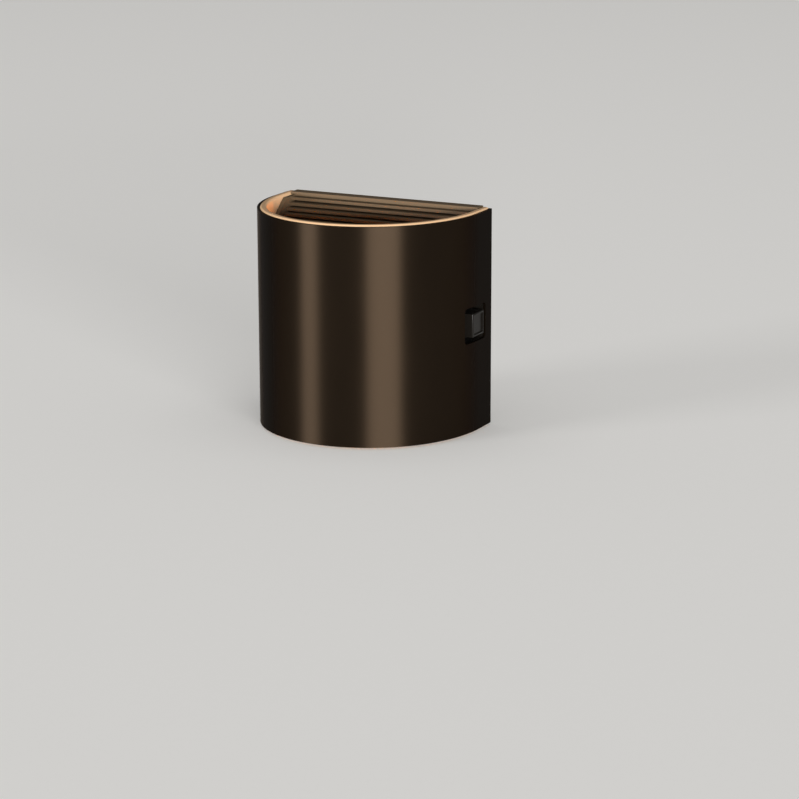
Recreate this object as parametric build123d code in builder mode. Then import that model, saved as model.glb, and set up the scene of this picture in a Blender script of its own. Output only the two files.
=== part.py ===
from build123d import *
import os
from math import cos, radians, sin, sqrt

# Plug-in night light that throws light up and down the wall. Millimetres.
# The room is at -Y, the wall at +Y, +Z is up. The rear face rests on the outlet at y = 0, and the
# origin is midway between the two plug blades on that face. "Depth" is a distance from the rear
# face towards the room, so depth d is y = -d. The light is the same above and below its middle
# plane, apart from the plug and the electronics.

os.makedirs("parts", exist_ok=True)

# ---------------------------------------------------------------- body
body_width = 48.2
body_depth = 32.2
body_height = 46.3
straight_side = 6.4  # flat stretch of each side, next to the wall
side_turn = 31.0  # degrees turned by the curve next to each flat stretch; the nose turns the rest
blade_drop = 6.95  # blades below the middle of the body

# ---------------------------------------------------------------- shells
sleeve_wall = 0.6
sleeve_setback = 0.3  # the liner's rim stands this far out of the sleeve, top and bottom
hem_width = 1.3  # return of the sleeve over the liner's rear edge
liner_wall = 1.4
rim_chamfer = 0.3
bond_gap = 0.05  # between shells that are bonded or clamped together
slip_gap = 0.1  # between pieces that slide past each other when assembled
bead_width = 0.8  # beads inside the liner that grip the lamp carrier
bead_height = 1.0

# ---------------------------------------------------------------- back plate and plug
plate_thickness = 1.5
rear_rise = 0.15  # back plate and first slat stand this far above the liner's rim
blade_spacing = 12.7
blade_thickness = 1.5
blade_length = 16.5
live_width = 6.35
neutral_width = 7.9
blade_tip_chamfer = 1.3
blade_edge_bevel = 0.4
blade_hole_radius = 1.6
blade_hole_depth = 11.9  # from the rear face to the hole's centre
shoulder_overhang = 1.6  # shoulder past the blade's edge, each side
shoulder_length = 1.8
tail_width = 2.6
tail_standout = 1.2  # blade tail past the board it is soldered to
clamp_side = 2.0  # clamp past the blades' centre lines, each side
clamp_margin = 1.5  # clamp past the shoulders, top and bottom
clamp_thickness = 3.8
clamp_round = 1.0
clamp_boss_radius = 1.7
clamp_boss_height = 1.8
clamp_screw_rise = 2.8  # clamp screws above and below the blades' centre line

# ---------------------------------------------------------------- driver housing and louvres
driver_depth = 15.0
housing_wall = 1.2
louvre_pitch = 1.25
louvre_step = 0.95  # drop from one slat to the next
louvre_back = 0.6  # wall behind the first slat
slat_thickness = 0.6
slat_root = 1.4  # slab below the line through the slats' rear edges
slab_thickness = 1.4
cheek_thickness = 0.8
cheek_height = 2.8
cheek_drop = 0.6  # cheek's end below the rim
boss_radius = 2.3
boss_inset = 7.5  # boss centres in from the body's side
boss_overhang = 0.2  # boss centres past the front wall's top and bottom edges
snap_length = 3.6
snap_width = 1.8
snap_height = 0.4
snap_depth = 4.4
snap_end_inset = 10.0  # snap centres in from the body's top and bottom

# ---------------------------------------------------------------- slide switch
switch_depth = 7.7
window_width = 8.8
grip_width = 5.3
grip_height = 4.9
grip_standout = 0.45
grip_round = 0.3
grip_rim = 0.1  # flat rim between the grip's round and its dish
dish_depth = 0.3
dish_round = 0.4
knob_travel = 1.2  # each way from the middle position
window_end_gap = 0.1
window_round = 0.8
bezel_wall = 0.6
bezel_lap = 0.7  # bezel's flange past its wall, all round
bezel_flange = 0.5
pad_inset = 3.2  # flat pad inside the liner, in from the body's side
pad_margin = 0.3
shield_lap = 0.9
shield_thickness = 0.8
shield_end_lap = 0.6
switch_width = 3.7
switch_length = 8.6
switch_body = 3.5
switch_sheet = 0.3
switch_standoff = 0.4  # between the switch and the shield
switch_base_thickness = 1.0
nib_size = 1.8
nib_socket = 2.0
slider_length = 4.4
slider_thickness = 0.9
contact_thickness = 0.2
contact_length = 3.6
contact_width = 1.2
terminal_count = 4
terminal_pitch = 2.0
terminal_width = 0.8
terminal_thickness = 0.3
terminal_standout = 0.6

# ---------------------------------------------------------------- driver board and its parts
board_thickness = 1.2
board_side_room = 4.8  # board's edge in from the body's side
board_end_gap = 0.3
board_boss_gap = 0.4
post_radius = 1.5
post_side_room = 2.3  # screwed posts in from the board's side edges
post_edge_room = 3.3  # screwed posts in from the board's lower edge
plain_post_edge_room = 1.9
lead_radius = 0.3
lead_standout = 0.8
lead_reach = 1.2  # lead's run out of the end of a part before it turns to the board
lead_hole_gap = 0.1
film_length = 10.3
film_width = 6.4
film_height = 6.6
film_side_room = 0.3  # from the board's side edge
film_edge_room = 1.1  # from the board's upper edge
film_lead_pitch = 7.5
film_round = 0.6
can_radius = 3.15
can_length = 7.0
can_side_room = 0.5
can_edge_room = 0.85
can_lead_pitch = 2.5
can_crimp_depth = 0.3
can_crimp_place = 1.6
can_crimp_width = 0.7
fuse_radius = 1.4
fuse_length = 6.3
fuse_edge_room = 1.4
fuse_lift = 0.2
fuse_lead_pitch = 8.0
fuse_chamfer = 0.4
bridge_length = 4.7
bridge_width = 3.9
bridge_height = 2.4
bridge_side = 8.8
chip_length = 4.9
chip_width = 3.9
chip_height = 1.5
chip_gap = 0.7  # from the chip resistors
small_part_below = 1.9
chip_leg_pitch = 1.27
chip_leg_width = 0.42
chip_leg_reach = 1.0
chip_leg_thickness = 0.2
resistor_length = 2.0
resistor_width = 1.25
resistor_height = 0.6
resistor_gap = 1.0  # from the switch's terminals
resistor_pitch = 1.8
resistor_rows = 4

# ---------------------------------------------------------------- lamp carrier, boards and lenses
carrier_thickness = 2.4
flange_thickness = 0.8
lens_height = 5.0
lens_wall = 1.0
lens_chamfer = 0.5
lamp_board_thickness = 1.0
lamp_board_inset = 4.5  # lamp board in from the liner's inside
lamp_board_gap = 1.5  # from the driver housing to the lamp boards
led_length = 3.5
led_width = 2.8
led_height = 0.7
led_spacing = 8.0
led_setback = 2.6  # from the lamp board's rear edge
pin_size = 0.64
pin_pitch = 2.54
pin_overlap = 3.0  # pin's stretch on the lamp board
pin_room = 0.2
header_height = 2.5

# ---------------------------------------------------------------- screws
plate_screw_head = 2.0
plate_screw_radius = 1.1
plate_screw_length = 7.5
countersink_angle = 90
pan_head_radius = 1.5
pan_head_height = 0.9
pan_screw_radius = 0.8
board_screw_length = 3.4
clamp_screw_length = 3.6
lamp_screw_setback = 2.5  # from the lamp board's rear edge
lamp_screw_edge = 2.3  # in from the lamp board's side
lamp_screw_end = 0.4  # screw's end past its nut
nut_width = 3.2
nut_height = 1.3
thread_gap = 0.03
drive_width = 0.5
drive_depth = 0.45

# ================================================================ worked-out places
half_width = body_width / 2
curve_depth = body_depth - straight_side
turn_cos = cos(radians(side_turn))
turn_sin = sin(radians(side_turn))
radius_step = (curve_depth - half_width) / (turn_cos + turn_sin - 1)
side_radius = half_width + turn_cos * radius_step
nose_radius = curve_depth - turn_sin * radius_step
mid_z = blade_drop
top_z = mid_z + body_height / 2
bottom_z = mid_z - body_height / 2
beyond = 2 * max(body_width, body_depth, body_height)  # longer than anything, for cuts

liner_inset = sleeve_wall + bond_gap
liner_rear = sleeve_wall + bond_gap
bore_inset = liner_inset + liner_wall
bead_root = liner_inset + liner_wall / 2
housing_inset = bore_inset + slip_gap
hem_inset = sleeve_wall + hem_width
louvre_start = plate_thickness + bond_gap
louvre_slope = louvre_step / louvre_pitch
slat_count = int((driver_depth - louvre_start) / louvre_pitch)
housing_inner_depth = driver_depth - housing_wall
boss_side = half_width - boss_inset
snap_reach = body_height / 2 - snap_end_inset

window_height = grip_height + 2 * (knob_travel + window_end_gap)
bezel_width = window_width + 2 * bezel_wall
bezel_height = window_height + 2 * bezel_wall
flange_width = bezel_width + 2 * bezel_lap
flange_height = bezel_height + 2 * bezel_lap
shield_width = window_width + 2 * shield_lap
shield_height = window_height + 2 * (knob_travel + shield_end_lap)
pad_width = shield_width + 2 * pad_margin
pad_height = shield_height + 2 * (knob_travel + pad_margin)
pad_x = half_width - pad_inset
shield_x = pad_x - slip_gap
shield_back_x = shield_x - shield_thickness
switch_x = shield_back_x - switch_standoff
switch_back_x = switch_x - switch_body
slider_x = switch_x - switch_sheet - slip_gap
slider_back_x = slider_x - slider_thickness
base_x = switch_back_x + switch_base_thickness
terminal_x = switch_back_x - terminal_standout

board_face = switch_depth + switch_width / 2
board_front = board_face + board_thickness
board_half_width = half_width - board_side_room
boss_room = boss_radius + board_boss_gap
tall_half_width = boss_side - boss_room
shoulder_width = neutral_width + 2 * shoulder_overhang
shoulder_depth = plate_thickness + shoulder_length
carrier_half = carrier_thickness / 2
lamp_board_top = carrier_half + lamp_board_thickness
lamp_board_start = driver_depth + lamp_board_gap
lamp_board_edge = bore_inset + lamp_board_inset
led_depth = lamp_board_start + led_setback
lamp_screw_depth = lamp_board_start + lamp_screw_setback
pin_level = lamp_board_top + pin_size / 2
pin_slot_width = pin_pitch + pin_size + 2 * pin_room
pin_slot_height = pin_size + 2 * pin_room
lens_inset = bore_inset + bead_width + slip_gap


def slat_line(depth):
    """Height of the sloping line through the slats' upper rear edges at a depth."""
    return top_z + rear_rise - (depth - louvre_start) * louvre_slope


def slab_line(depth):
    """Height of the louvre slab's upper side at a depth."""
    return slat_line(depth) - slat_root


def housing_line(depth):
    """Height of the driver housing's sloping upper edge at a depth."""
    return slab_line(depth) - slab_thickness


def side_at(inset, depth):
    """Half the width of the inset outline at a depth past its flat stretches."""
    past_flat = depth - straight_side
    if past_flat <= (side_radius - inset) * turn_sin:
        return half_width - side_radius + sqrt((side_radius - inset) ** 2 - past_flat**2)
    past_centre = depth - body_depth + nose_radius
    return sqrt((nose_radius - inset) ** 2 - past_centre**2)


lamp_screw_side = side_at(lamp_board_edge, lamp_screw_depth) - lamp_screw_edge
boss_reach = housing_line(driver_depth) - mid_z + boss_overhang
board_half_height = housing_line(board_front) - mid_z - board_end_gap
film_side = tall_half_width - film_side_room - film_length / 2
film_above = board_half_height - film_edge_room - film_width / 2
can_side = tall_half_width - can_side_room - can_length / 2
can_above = board_half_height - can_edge_room - can_radius
resistor_side = terminal_x - resistor_gap - resistor_length / 2
chip_side = resistor_side - (resistor_length + chip_length) / 2 - chip_gap
small_part_z = mid_z - small_part_below
post_side = tall_half_width - post_side_room
post_low = board_half_height - post_edge_room
post_high = board_half_height - plain_post_edge_room
middle = Plane.XY.offset(mid_z)
board_plane = Plane.XZ.offset(board_face)
plate_plane = Plane.XZ.offset(plate_thickness)
blade_sides = (-blade_spacing / 2, blade_spacing / 2)
clamp_screw_spots = [(0, -clamp_screw_rise), (0, clamp_screw_rise)]
pin_spots = [
    (side * pin_pitch / 2, mid_z + level * pin_level) for side in (-1, 1) for level in (-1, 1)
]
post_spots = [(side * post_side, mid_z - post_low) for side in (-1, 1)]
plain_post_spots = [(side, mid_z + post_high) for side in (-film_side, can_side)]
lamp_screw_spots = [(side * lamp_screw_side, -lamp_screw_depth) for side in (-1, 1)]
terminal_levels = [
    mid_z + (number - (terminal_count - 1) / 2) * terminal_pitch for number in range(terminal_count)
]
film_leads = [(-film_side + side * film_lead_pitch / 2, mid_z + film_above) for side in (-1, 1)]
can_lead_side = can_side - can_length / 2 - lead_reach
can_leads = [(can_lead_side, mid_z + can_above + side * can_lead_pitch / 2) for side in (-1, 1)]
fuse_side = -(board_half_width - fuse_edge_room - fuse_radius)
fuse_leads = [(fuse_side, mid_z + side * fuse_lead_pitch / 2) for side in (-1, 1)]


def half_round(inset, near=0.0, far=beyond):
    """The body's plan outline, inset all round and cut off between two depths."""
    side = half_width - inset
    with BuildSketch() as outline:
        with BuildLine():
            Polyline((-side, -straight_side), (-side, 0), (side, 0), (side, -straight_side))
            right = JernArc((side, -straight_side), (0, -1), side_radius - inset, -side_turn)
            nose = JernArc(right @ 1, right % 1, nose_radius - inset, 2 * (side_turn - 90))
            JernArc(nose @ 1, nose % 1, side_radius - inset, -side_turn)
        make_face()
        with Locations((0, -(near + far) / 2)):
            Rectangle(beyond, far - near, mode=Mode.INTERSECT)
    return outline.sketch


def switch_window(width, height, start=0.0):
    """A rounded outline round the switch's middle, x = start, looking at the right side."""
    with BuildSketch(Plane.YZ.offset(start)) as window:
        with Locations((-switch_depth, mid_z)):
            RectangleRounded(width, height, window_round)
    return window.sketch


def bent_lead(*points):
    """Adds a round wire with mitred corners along straight runs to the part being built."""
    with BuildLine() as route:
        Polyline(*points)
    with BuildSketch(Plane(origin=route.line @ 0, z_dir=route.line % 0)) as section:
        Circle(lead_radius)
    sweep(sections=section.sketch, path=route.line, transition=Transition.RIGHT)


def rear_facing(depth):
    """Plane at a depth that faces the wall, with +Z up."""
    return Plane(origin=(0, -depth, 0), x_dir=(-1, 0, 0), z_dir=(0, 1, 0))


def cross_recess(plane, spots, width):
    """Cuts a cross drive into the screw heads that end on a plane."""
    with BuildSketch(plane) as cross:
        with Locations(*spots):
            Rectangle(width, drive_width)
            Rectangle(drive_width, width)
    extrude(cross.sketch, amount=-drive_depth, mode=Mode.SUBTRACT)


def pan_screws(plane, spots, length):
    """Adds pan-head screws that stand on a plane to the part being built."""
    with BuildSketch(plane) as heads:
        with Locations(*spots):
            Circle(pan_head_radius)
    extrude(heads.sketch, amount=pan_head_height)
    with BuildSketch(plane) as shanks:
        with Locations(*spots):
            Circle(pan_screw_radius)
    extrude(shanks.sketch, amount=-length)


def plug_blade(side, width):
    """A plug blade with its tip, shoulder and solder tail, centred on x = side."""
    tail_length = board_front + tail_standout - shoulder_depth
    with BuildPart() as blade:
        with BuildSketch(Plane.YZ.offset(side - blade_thickness / 2)) as outline:
            with Locations((blade_length, 0)):
                Rectangle(blade_length + plate_thickness, width, align=(Align.MAX, Align.CENTER))
            chamfer(outline.vertices().group_by(Axis.X)[-1], blade_tip_chamfer)
            with Locations((-plate_thickness, 0)):
                Rectangle(shoulder_length, shoulder_width, align=(Align.MAX, Align.CENTER))
            with Locations((-shoulder_depth, 0)):
                Rectangle(tail_length, tail_width, align=(Align.MAX, Align.CENTER))
            with Locations((blade_hole_depth, 0)):
                Circle(blade_hole_radius, mode=Mode.SUBTRACT)
        extrude(amount=blade_thickness)
        chamfer(blade.edges().filter_by(Axis.Z).group_by(Axis.Y)[-1], blade_edge_bevel)
    return blade


# ================================================================ shells
# Outer sleeve: thin half-round skin, its rear edges folded in over the liner.
with BuildPart() as outer_sleeve:
    with BuildSketch(Plane.XY.offset(bottom_z + sleeve_setback)):
        add(half_round(0))
        add(half_round(hem_inset, far=sleeve_wall), mode=Mode.SUBTRACT)
        add(half_round(sleeve_wall, near=sleeve_wall), mode=Mode.SUBTRACT)
    extrude(amount=body_height - 2 * sleeve_setback)
    rear_corners = outer_sleeve.edges().filter_by(Axis.Z).group_by(Axis.Y)[-1].sort_by(Axis.X)
    fillet([rear_corners[0], rear_corners[-1]], sleeve_wall - bond_gap)
    extrude(switch_window(window_width, window_height), amount=beyond, mode=Mode.SUBTRACT)

# Inner liner: half-round wall with a pad and a pocket round the switch window for its bezel,
# beads that grip the lamp carrier, and pockets for the driver housing's snaps.
with BuildPart() as inner_liner:
    with BuildSketch(Plane.XY.offset(bottom_z)):
        add(half_round(liner_inset, near=liner_rear))
        add(half_round(bore_inset), mode=Mode.SUBTRACT)
    extrude(amount=body_height)
    for rim in (inner_liner.edges().group_by(Axis.Z)[-1], inner_liner.edges().group_by(Axis.Z)[0]):
        chamfer(rim.filter_by(Axis.X, reverse=True), rim_chamfer)
    for side in (-1, 1):
        bead_start = side * (carrier_half + flange_thickness + bond_gap)
        with BuildSketch(middle.offset(bead_start)):
            add(half_round(bead_root, near=driver_depth))
            add(half_round(bore_inset + bead_width), mode=Mode.SUBTRACT)
        extrude(amount=side * bead_height)
    with BuildSketch(middle.offset(-pad_height / 2)):
        add(half_round(bead_root))
        with Locations(((pad_x + half_width) / 2, -switch_depth)):
            Rectangle(half_width - pad_x, pad_width, mode=Mode.INTERSECT)
    extrude(amount=pad_height)
    bezel_hole = switch_window(bezel_width + 2 * bond_gap, bezel_height + 2 * bond_gap)
    extrude(bezel_hole, amount=beyond, mode=Mode.SUBTRACT)
    with BuildSketch(middle.offset(-flange_height / 2 - bond_gap)):
        add(half_round(0))
        add(half_round(liner_inset + bezel_flange + bond_gap), mode=Mode.SUBTRACT)
        with Locations((half_width, -switch_depth)):
            Rectangle(half_width, flange_width + 2 * bond_gap, mode=Mode.INTERSECT)
    extrude(amount=flange_height + 2 * bond_gap, mode=Mode.SUBTRACT)
    for side in (-1, 1):
        with BuildSketch(Plane.YZ.offset(side * (half_width - bore_inset))):
            with Locations((-snap_depth, mid_z - snap_reach), (-snap_depth, mid_z + snap_reach)):
                Rectangle(snap_width + 2 * slip_gap, snap_length + 2 * slip_gap)
        extrude(amount=side * snap_height, mode=Mode.SUBTRACT)

# Bezel: dark frame that lines the switch window, its flange held between liner and sleeve.
with BuildPart() as switch_bezel:
    with BuildSketch(middle.offset(-flange_height / 2)):
        add(half_round(liner_inset))
        add(half_round(liner_inset + bezel_flange), mode=Mode.SUBTRACT)
        with Locations((half_width, -switch_depth)):
            Rectangle(half_width, flange_width, mode=Mode.INTERSECT)
    extrude(amount=flange_height)
    extrude(switch_window(bezel_width, bezel_height, pad_x), amount=half_width - pad_x)
    with BuildSketch(middle.offset(-flange_height / 2)):
        add(half_round(liner_inset))
    extrude(amount=flange_height, mode=Mode.INTERSECT)
    extrude(switch_window(window_width, window_height), amount=beyond, mode=Mode.SUBTRACT)

# Driver housing: side walls and front wall of the driver's room, with sloping ends under the
# louvres, bosses for the plate screws and posts for the board.
with BuildPart() as driver_housing:
    with BuildSketch(Plane.XY.offset(bottom_z)):
        add(half_round(housing_inset, near=plate_thickness, far=driver_depth))
        add(half_round(housing_inset + housing_wall, far=housing_inner_depth), mode=Mode.SUBTRACT)
    extrude(amount=body_height)
    with BuildSketch(plate_plane):
        with Locations((0, mid_z)):
            with GridLocations(2 * boss_side, 2 * boss_reach, 2, 2):
                Circle(boss_radius)
    extrude(amount=driver_depth - plate_thickness)
    with BuildSketch(Plane.XZ.offset(board_front)):
        with Locations(*post_spots, *plain_post_spots):
            Circle(post_radius)
    extrude(amount=driver_depth - board_front)
    with BuildSketch(Plane.YZ):
        with BuildLine():
            Polyline(
                (-plate_thickness, housing_line(plate_thickness)),
                (-driver_depth, housing_line(driver_depth)),
                (-driver_depth, 2 * mid_z - housing_line(driver_depth)),
                (-plate_thickness, 2 * mid_z - housing_line(plate_thickness)),
                close=True,
            )
        make_face()
    extrude(amount=beyond, both=True, mode=Mode.INTERSECT)
    with BuildSketch(Plane.YZ.offset(shield_back_x - slip_gap)):
        with Locations((0, mid_z)):
            Rectangle(beyond, pad_height + 2 * slip_gap)
    extrude(amount=beyond, mode=Mode.SUBTRACT)
    with BuildSketch(plate_plane):
        with Locations((0, mid_z)):
            with GridLocations(2 * boss_side, 2 * boss_reach, 2, 2):
                Circle(plate_screw_radius + thread_gap)
    extrude(amount=plate_screw_length, mode=Mode.SUBTRACT)
    with BuildSketch(Plane.XZ.offset(board_front)):
        with Locations(*post_spots):
            Circle(pan_screw_radius + thread_gap)
    extrude(amount=board_screw_length - board_thickness + thread_gap, mode=Mode.SUBTRACT)
    with BuildSketch(Plane.XZ.offset(housing_inner_depth)):
        with Locations((0, mid_z - pin_level), (0, mid_z + pin_level)):
            Rectangle(pin_slot_width, pin_slot_height)
    extrude(amount=housing_wall, mode=Mode.SUBTRACT)
    for side in (-1, 1):
        with BuildSketch(Plane.YZ.offset(side * (half_width - housing_inset - housing_wall / 2))):
            with Locations((-snap_depth, mid_z - snap_reach), (-snap_depth, mid_z + snap_reach)):
                Rectangle(snap_width, snap_length)
        extrude(amount=side * (housing_wall / 2 + snap_height))

# Louvres: level slats that step down towards the room, with open slots between them, on a
# sloping slab and between two cheeks.
with BuildPart() as louvre_slats:
    with BuildSketch(Plane.YZ):
        with BuildLine():
            Polyline(
                (-louvre_start, slat_line(louvre_start)),
                (-louvre_start - louvre_back, slat_line(louvre_start)),
                (-louvre_start - louvre_back, slab_line(louvre_start + louvre_back)),
                (-driver_depth, slab_line(driver_depth)),
                (-driver_depth, housing_line(driver_depth)),
                (-louvre_start, housing_line(louvre_start)),
                close=True,
            )
        make_face()
        slat_reach = louvre_pitch + (slat_root + slab_thickness / 2) / louvre_slope
        for number in range(slat_count):
            slat_rear = louvre_start + number * louvre_pitch
            with Locations((-slat_rear - louvre_pitch, slat_line(slat_rear))):
                Rectangle(slat_reach, slat_thickness, align=(Align.MIN, Align.MAX))
    extrude(amount=half_width, both=True)
    with BuildSketch(middle.offset(-body_height)):
        add(half_round(housing_inset, near=louvre_start, far=driver_depth))
    extrude(amount=2 * body_height, mode=Mode.INTERSECT)

with BuildPart() as upper_louvre:
    with BuildSketch(Plane.XY.offset(bottom_z)):
        add(half_round(housing_inset, near=louvre_start, far=driver_depth))
        add(half_round(housing_inset + cheek_thickness), mode=Mode.SUBTRACT)
    extrude(amount=body_height - cheek_drop)
    with BuildSketch(Plane.YZ):
        with BuildLine():
            Polyline(
                (-louvre_start, slat_line(louvre_start) + cheek_height),
                (-driver_depth, slat_line(driver_depth) + cheek_height),
                (-driver_depth, housing_line(driver_depth)),
                (-louvre_start, housing_line(louvre_start)),
                close=True,
            )
        make_face()
    extrude(amount=beyond, both=True, mode=Mode.INTERSECT)
    add(louvre_slats.part)

with BuildPart() as lower_louvre:
    mirror(upper_louvre.part, about=middle)

# Back plate: closes the rear, with the blade slots, countersunk screw holes and the clamp's
# bosses.
with BuildPart() as back_plate:
    with BuildSketch(Plane.XZ):
        with Locations((0, mid_z)):
            Rectangle(2 * (half_width - housing_inset), body_height + 2 * rear_rise)
    extrude(amount=plate_thickness)
    with BuildSketch(plate_plane):
        with Locations(*clamp_screw_spots):
            Circle(clamp_boss_radius)
    extrude(amount=clamp_boss_height)
    with BuildSketch(Plane.XZ.offset(plate_thickness + clamp_boss_height)):
        with Locations(*clamp_screw_spots):
            Circle(pan_screw_radius + thread_gap)
    extrude(amount=clamp_thickness - clamp_boss_height - clamp_screw_length, mode=Mode.SUBTRACT)
    with BuildSketch(Plane.XZ):
        for side, width in zip(blade_sides, (neutral_width, live_width)):
            with Locations((side, 0)):
                Rectangle(blade_thickness + 2 * slip_gap, width + 2 * slip_gap)
    extrude(amount=plate_thickness, mode=Mode.SUBTRACT)
    with Locations(rear_facing(0)):
        with Locations((0, mid_z)):
            with GridLocations(2 * boss_side, 2 * boss_reach, 2, 2):
                CounterSinkHole(
                    plate_screw_radius + slip_gap,
                    plate_screw_head + slip_gap,
                    2 * plate_thickness,
                    countersink_angle,
                )

with BuildPart() as plate_screws:
    with Locations(rear_facing(bond_gap)):
        with Locations((0, mid_z)):
            with GridLocations(2 * boss_side, 2 * boss_reach, 2, 2):
                top_aligned = (Align.CENTER, Align.CENTER, Align.MAX)
                head_height = plate_screw_head - plate_screw_radius
                Cone(plate_screw_radius, plate_screw_head, head_height, align=top_aligned)
                Cylinder(plate_screw_radius, plate_screw_length, align=top_aligned)
    plate_screw_spots = [
        (across * boss_side, mid_z + up * boss_reach) for across in (-1, 1) for up in (-1, 1)
    ]
    cross_recess(rear_facing(bond_gap), plate_screw_spots, plate_screw_head)

# ================================================================ plug
neutral_blade = plug_blade(blade_sides[0], neutral_width)
live_blade = plug_blade(blade_sides[1], live_width)

# Blade clamp: insulating block that traps the blades' shoulders against the back plate, held by
# two screws between them.
with BuildPart() as blade_clamp:
    with BuildSketch(plate_plane):
        RectangleRounded(
            blade_spacing + 2 * clamp_side, shoulder_width + 2 * clamp_margin, clamp_round
        )
    extrude(amount=clamp_thickness)
    with BuildSketch(plate_plane):
        with Locations(*[(side, 0) for side in blade_sides]):
            Rectangle(blade_thickness + 2 * slip_gap, shoulder_width + 2 * slip_gap)
    extrude(amount=shoulder_length, mode=Mode.SUBTRACT)
    with BuildSketch(plate_plane):
        with Locations(*clamp_screw_spots):
            Circle(clamp_boss_radius + slip_gap)
    extrude(amount=clamp_boss_height + slip_gap, mode=Mode.SUBTRACT)
    with BuildSketch(plate_plane):
        with Locations(*[(side, 0) for side in blade_sides]):
            Rectangle(blade_thickness + 2 * slip_gap, tail_width + 2 * slip_gap)
        with Locations(*clamp_screw_spots):
            Circle(pan_screw_radius + slip_gap)
    extrude(amount=clamp_thickness, mode=Mode.SUBTRACT)

with BuildPart() as clamp_screw:
    pan_screws(plate_plane.offset(clamp_thickness), clamp_screw_spots, clamp_screw_length)

# ================================================================ driver
# Driver board: its corners are cut away round the bosses, and its ends follow the housing's slope.
with BuildPart() as driver_board:
    with BuildSketch(board_plane):
        with Locations((0, mid_z)):
            Rectangle(2 * board_half_width, 2 * (boss_reach - boss_room))
            Rectangle(2 * tall_half_width, 2 * board_half_height)
        with Locations(*film_leads, *can_leads, *fuse_leads):
            Circle(lead_radius + lead_hole_gap, mode=Mode.SUBTRACT)
        with Locations(*post_spots):
            Circle(pan_screw_radius + slip_gap, mode=Mode.SUBTRACT)
        with Locations(*pin_spots):
            Rectangle(pin_size + 2 * slip_gap, pin_size + 2 * slip_gap, mode=Mode.SUBTRACT)
        with Locations(*[(side, 0) for side in blade_sides]):
            Rectangle(
                blade_thickness + 2 * slip_gap, tail_width + 2 * slip_gap, mode=Mode.SUBTRACT
            )
        with Locations(*[(terminal_x, level) for level in terminal_levels]):
            Rectangle(
                terminal_thickness + 2 * slip_gap, terminal_width + 2 * slip_gap, mode=Mode.SUBTRACT
            )
    extrude(amount=board_thickness)

with BuildPart() as board_screws:
    pan_screws(rear_facing(board_face), post_spots, board_screw_length)

with BuildPart() as film_capacitor:
    with BuildSketch(board_plane):
        with Locations((-film_side, mid_z + film_above)):
            RectangleRounded(film_length, film_width, film_round)
    extrude(amount=-film_height)
    chamfer(film_capacitor.faces().sort_by(Axis.Y)[-1].edges(), film_round / 2)
    with BuildSketch(board_plane):
        with Locations(*film_leads):
            Circle(lead_radius)
    extrude(amount=board_thickness + lead_standout)

with BuildPart() as electrolytic_capacitor:
    can_axis_depth = board_face - can_radius
    with BuildSketch(Plane.YZ.offset(can_side - can_length / 2)):
        with Locations((-can_axis_depth, mid_z + can_above)):
            Circle(can_radius)
    extrude(amount=can_length)
    with BuildSketch(Plane.YZ.offset(can_side - can_length / 2 + can_crimp_place)):
        with Locations((-can_axis_depth, mid_z + can_above)):
            Circle(can_radius)
            Circle(can_radius - can_crimp_depth, mode=Mode.SUBTRACT)
    extrude(amount=can_crimp_width, mode=Mode.SUBTRACT)
    for across, up in can_leads:
        bent_lead(
            (can_side, -can_axis_depth, up),
            (across, -can_axis_depth, up),
            (across, -(board_front + lead_standout), up),
        )

with BuildPart() as fuse_resistor:
    fuse_axis_depth = board_face - fuse_radius - fuse_lift
    with BuildSketch(Plane.XY.offset(mid_z - fuse_length / 2)):
        with Locations((fuse_side, -fuse_axis_depth)):
            Circle(fuse_radius)
    extrude(amount=fuse_length)
    chamfer(fuse_resistor.edges().filter_by(GeomType.CIRCLE), fuse_chamfer)
    for across, up in fuse_leads:
        bent_lead(
            (across, -fuse_axis_depth, mid_z),
            (across, -fuse_axis_depth, up),
            (across, -(board_front + lead_standout), up),
        )

with BuildPart() as bridge_rectifier:
    with BuildSketch(board_plane):
        with Locations((-bridge_side, small_part_z)):
            Rectangle(bridge_length, bridge_width)
    extrude(amount=-bridge_height, taper=4)
    with BuildSketch(board_plane):
        with Locations((-bridge_side, small_part_z)):
            with GridLocations(2 * chip_leg_pitch, bridge_width + chip_leg_reach, 2, 2):
                Rectangle(chip_leg_width, 2 * chip_leg_reach)
    extrude(amount=-chip_leg_thickness)

with BuildPart() as driver_chip:
    with BuildSketch(board_plane.offset(-chip_leg_thickness / 2)):
        with Locations((chip_side, small_part_z)):
            Rectangle(chip_length, chip_width)
    extrude(amount=-chip_height, taper=5)
    with BuildSketch(board_plane):
        with Locations((chip_side, small_part_z)):
            with GridLocations(chip_leg_pitch, chip_width + chip_leg_reach, 4, 2):
                Rectangle(chip_leg_width, chip_leg_reach + chip_leg_thickness)
    extrude(amount=-chip_leg_thickness)

with BuildPart() as chip_resistors:
    with BuildSketch(board_plane):
        with Locations((resistor_side, mid_z)):
            with GridLocations(resistor_pitch, resistor_pitch, 1, resistor_rows):
                Rectangle(resistor_length, resistor_width)
    extrude(amount=-resistor_height)

# Lamp header: carries four pins through the board and the housing's front wall to the lamp boards.
with BuildPart() as lamp_header:
    with BuildSketch(board_plane):
        with Locations((0, mid_z)):
            Rectangle(2 * pin_pitch, 2 * pin_level + pin_pitch)
        with Locations(*pin_spots):
            Rectangle(pin_size, pin_size, mode=Mode.SUBTRACT)
    extrude(amount=-header_height)

with BuildPart() as lamp_pins:
    pin_start = board_face - header_height - pin_size
    pin_end = lamp_board_start + pin_overlap
    with BuildSketch(Plane.XZ.offset(pin_start)):
        with Locations(*pin_spots):
            Rectangle(pin_size, pin_size)
    extrude(amount=pin_end - pin_start)

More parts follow.
